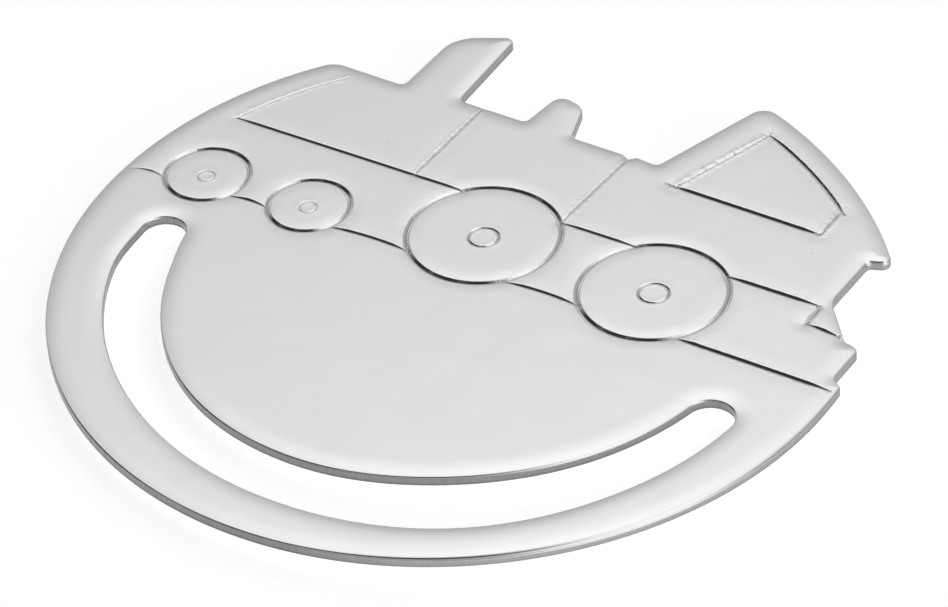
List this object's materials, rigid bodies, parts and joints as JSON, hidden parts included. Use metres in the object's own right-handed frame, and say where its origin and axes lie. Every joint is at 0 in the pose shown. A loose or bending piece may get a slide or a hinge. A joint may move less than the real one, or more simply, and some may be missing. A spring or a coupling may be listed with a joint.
{
  "type": "page clip bookmark",
  "caption": "Flat page clip bookmark of polished sheet metal: a round blank coined as a steam locomotive above a curved slot that leaves a page tongue inside a springing clip ring.",
  "frame": {"origin": "centre of the round blank, on its plain back face", "axes": "+X towards the locomotive's cab, +Y up the locomotive from the slot to the chimney, +Z out of the coined face"},
  "size_m": [0.06, 0.0588, 0.0009],
  "materials": {
    "silver_plate": "polished"
  },
  "bodies": {
    "engine": {"engine_plate": "silver_plate"},
    "tongue": {"page_tongue": "silver_plate"},
    "ring": {"clip_ring": "silver_plate"}
  },
  "joints": [
    {"name": "ring_flex", "type": "hinge", "parent": "engine", "child": "ring", "pos_m": [0, -0.0052, 0.00045], "axis": [1, 0, 0], "range_deg": [-3, 3], "stiffness_Nm_per_rad": 2.5},
    {"name": "tongue_flex", "type": "hinge", "parent": "engine", "child": "tongue", "pos_m": [0, -0.0052, 0.00045], "axis": [1, 0, 0], "range_deg": [-1, 1], "stiffness_Nm_per_rad": 20}
  ]
}
